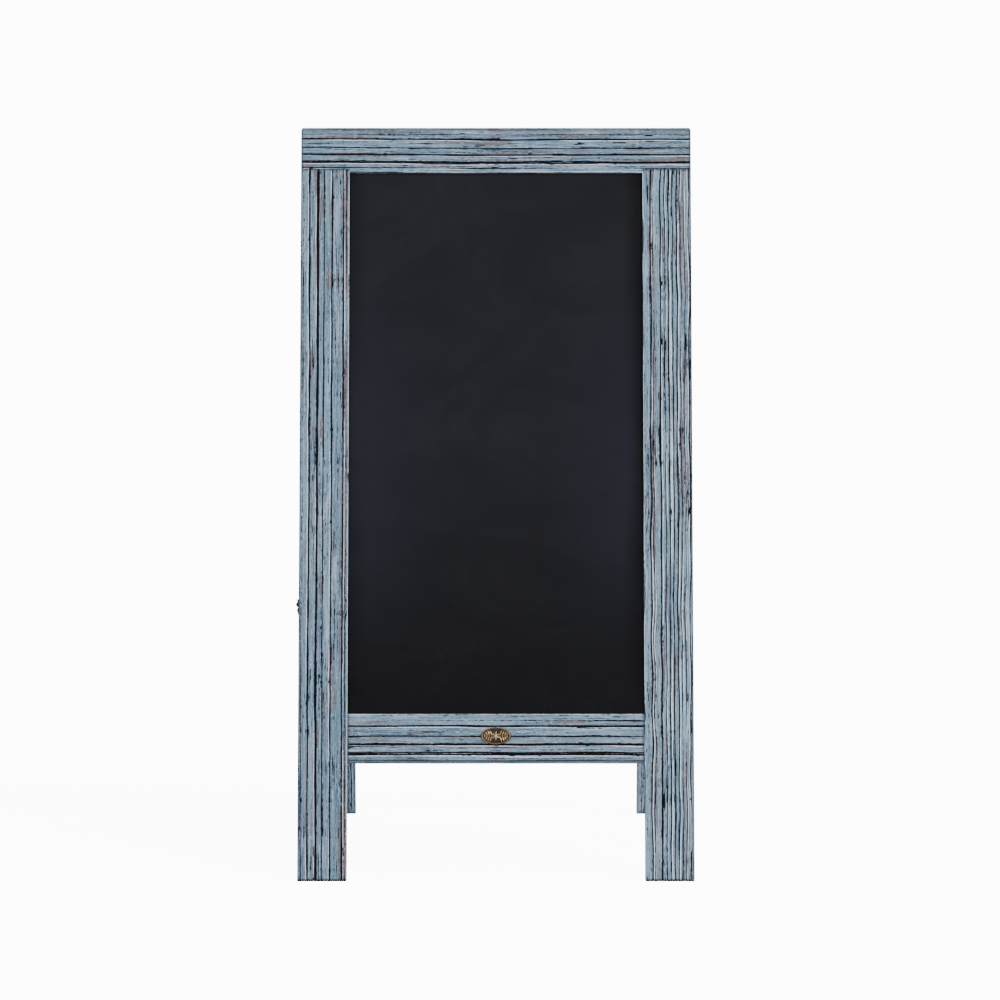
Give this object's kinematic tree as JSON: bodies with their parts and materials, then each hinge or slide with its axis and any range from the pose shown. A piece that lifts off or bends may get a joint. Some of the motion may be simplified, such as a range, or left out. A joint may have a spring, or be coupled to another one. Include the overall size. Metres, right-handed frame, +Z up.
{
  "type": "chalkboard easel",
  "caption": "Free-standing A-frame chalkboard easel: two hinged wooden frames with black writing boards, folding side stays, a swing hook latch and a small oval badge.",
  "frame": {"origin": "on the floor, midway between the four feet when the easel stands open", "axes": "+Z up; +X to the right of someone reading the front board; the front board faces -Y"},
  "size_m": [0.512, 0.6264, 0.946],
  "materials": {
    "weathered_blue_wood": "blue-grey wash over brushed, dark-grained wood",
    "chalkboard_black": "satin black writing surface",
    "hardboard_brown": "smooth brown hardboard",
    "beech_dowel": "plain fluted beech",
    "black_hardware": "black powder coat, worn at the edges",
    "steel_fasteners": "zinc-plated steel, dulled",
    "antique_bronze": "antique bronze, dark in its hollows and rubbed bright on top"
  },
  "bodies": {
    "front_frame": {"front_top_rail": "weathered_blue_wood", "front_bottom_rail": "weathered_blue_wood", "front_writing_sheet": "chalkboard_black", "front_backer_board": "hardboard_brown", "front_dowels": "beech_dowel", "front_left_stile": "weathered_blue_wood", "front_right_stile": "weathered_blue_wood", "hinge_screws_front": "steel_fasteners", "hinge_leaf_front_left": "black_hardware", "hinge_leaf_front_right": "black_hardware", "stay_pivot_screws_front": "steel_fasteners", "stay_washers_front": "steel_fasteners", "hinge_pin_left": "steel_fasteners", "hinge_pin_right": "steel_fasteners", "latch_plate": "black_hardware", "latch_pivot_screw": "black_hardware", "latch_plate_screw": "black_hardware", "badge": "antique_bronze"},
    "rear_frame": {"rear_top_rail": "weathered_blue_wood", "rear_bottom_rail": "weathered_blue_wood", "rear_writing_sheet": "chalkboard_black", "rear_backer_board": "hardboard_brown", "rear_dowels": "beech_dowel", "rear_left_stile": "weathered_blue_wood", "rear_right_stile": "weathered_blue_wood", "hinge_screws_rear": "steel_fasteners", "hinge_leaf_rear_left": "black_hardware", "hinge_leaf_rear_right": "black_hardware", "stay_pivot_screws_rear": "steel_fasteners", "stay_washers_rear": "steel_fasteners", "keeper_plate": "black_hardware", "keeper_stud": "black_hardware", "keeper_screw": "black_hardware"},
    "latch_hook": {"latch_hook": "black_hardware"},
    "stay_front_left": {"stay_arm_front_left": "black_hardware", "stay_rivet_front_left": "steel_fasteners"},
    "stay_rear_left": {"stay_arm_rear_left": "black_hardware", "stay_rivet_rear_left": "steel_fasteners"},
    "stay_front_right": {"stay_arm_front_right": "black_hardware", "stay_rivet_front_right": "steel_fasteners"},
    "stay_rear_right": {"stay_arm_rear_right": "black_hardware", "stay_rivet_rear_right": "steel_fasteners"}
  },
  "joints": [
    {"name": "fold", "type": "hinge", "parent": "front_frame", "child": "rear_frame", "pos_m": [0, 0, 0.93582], "axis": [-1, 0, 0], "range_deg": [0, 34.4]},
    {"name": "latch_hook_swing", "type": "hinge", "parent": "front_frame", "child": "latch_hook", "pos_m": [-0.2559, -0.19273, 0.34196], "axis": [-1, 0, 0], "range_deg": [-75, 20]},
    {"name": "stay_front_left_pivot", "type": "hinge", "parent": "front_frame", "child": "stay_front_left", "pos_m": [-0.1873, -0.10647, 0.62333], "axis": [1, 0, 0], "range_deg": [0, 67.81]},
    {"name": "stay_rear_left_pivot", "type": "hinge", "parent": "rear_frame", "child": "stay_rear_left", "pos_m": [-0.185, 0.10647, 0.62333], "axis": [-1, 0, 0], "range_deg": [0, 67.81]},
    {"name": "stay_front_right_pivot", "type": "hinge", "parent": "front_frame", "child": "stay_front_right", "pos_m": [0.1873, -0.10647, 0.62333], "axis": [1, 0, 0], "range_deg": [0, 67.81]},
    {"name": "stay_rear_right_pivot", "type": "hinge", "parent": "rear_frame", "child": "stay_rear_right", "pos_m": [0.185, 0.10647, 0.62333], "axis": [-1, 0, 0], "range_deg": [0, 67.81]}
  ],
  "couplings": [
    {"joint": "stay_front_left_pivot", "follows": "fold", "ratio": 1.9706},
    {"joint": "stay_rear_left_pivot", "follows": "fold", "ratio": 1.9706},
    {"joint": "stay_front_right_pivot", "follows": "fold", "ratio": 1.9706},
    {"joint": "stay_rear_right_pivot", "follows": "fold", "ratio": 1.9706}
  ]
}
